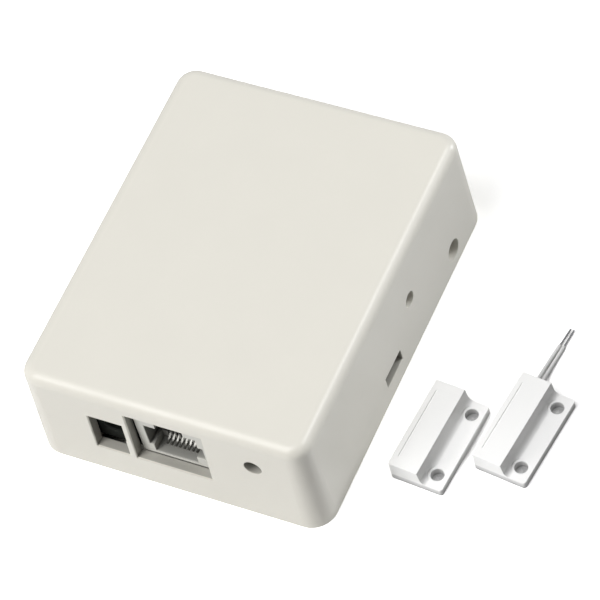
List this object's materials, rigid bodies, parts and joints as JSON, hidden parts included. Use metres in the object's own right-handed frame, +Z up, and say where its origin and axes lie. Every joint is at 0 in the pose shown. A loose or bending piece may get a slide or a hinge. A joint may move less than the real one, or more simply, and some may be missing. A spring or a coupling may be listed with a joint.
{
  "type": "door sensor",
  "caption": "Wired door sensor: a tapered wall hub with power, network and USB sockets, and a two-piece surface magnetic contact with short leads.",
  "frame": {"origin": "centre of the hub's underside, on the surface that the hub and both contact halves rest on", "axes": "+Z up out of the surface, -Y towards the side with the network and power sockets, +X towards the contact halves"},
  "size_m": [0.1074, 0.0876, 0.0282],
  "materials": {
    "cover_plastic": "fine satin, warm off-white",
    "base_plastic": "fine satin, warm off-white",
    "screw_steel": "zinc plated",
    "board": "black lacquer",
    "socket_pale": "moulded pale grey",
    "socket_black": "moulded black",
    "comb_plastic": "moulded black",
    "gold_springs": "gold flash",
    "nickel": "bright plated",
    "shell_steel": "tin plated sheet",
    "lamp_clear": "diffused clear resin",
    "plunger_black": "moulded black",
    "terminal_green": "moulded green",
    "chip_black": "moulded epoxy",
    "can_steel": "drawn can",
    "can_aluminium": "bright can",
    "ferrite": "pressed ferrite",
    "contact_plastic": "smooth white",
    "magnet_metal": "cast magnet alloy",
    "filling": "cast resin",
    "tube_glass": "clear green-tinted glass",
    "lead_jacket": "smooth white sleeve",
    "tinned_copper": "tinned strands"
  },
  "bodies": {
    "hub": {"top_cover": "cover_plastic", "base_plate": "base_plastic", "base_screws": "screw_steel", "main_board": "board", "board_screws": "screw_steel", "network_jack": "socket_pale", "network_comb": "comb_plastic", "network_contacts": "gold_springs", "power_jack": "socket_black", "power_jack_pin": "nickel", "power_jack_spring": "nickel", "usb_shell": "shell_steel", "usb_tongue": "comb_plastic", "status_led": "lamp_clear", "led_holder": "socket_black", "led_leads": "nickel", "reset_switch": "socket_black", "reset_dome": "shell_steel", "reset_frame": "shell_steel", "terminal_block": "terminal_green", "terminal_clamps": "shell_steel", "terminal_screws": "screw_steel", "network_transformer": "chip_black", "transformer_pins": "nickel", "controller": "chip_black", "controller_pins": "nickel", "flash_memory": "chip_black", "crystal": "can_steel", "regulator": "chip_black", "inductor": "ferrite", "capacitors": "can_aluminium", "capacitor_bases": "chip_black", "reed_case": "contact_plastic", "reed_tube": "tube_glass", "reed_blades": "nickel", "reed_potting": "filling", "reed_leads": "lead_jacket", "lead_wires": "tinned_copper"},
    "magnet": {"magnet_case": "contact_plastic", "bar_magnet": "magnet_metal", "magnet_potting": "filling"},
    "reset_button": {"reset_plunger": "plunger_black"}
  },
  "joints": [
    {"name": "door_travel", "type": "slide", "parent": "hub", "child": "magnet", "axis": [-0.0785, -0.9969, 0], "range_m": [0, 0.02]},
    {"name": "reset_press", "type": "slide", "parent": "hub", "child": "reset_button", "axis": [-1, 0, 0], "range_m": [0, 0.00025], "stiffness_N_per_m": 6400}
  ]
}
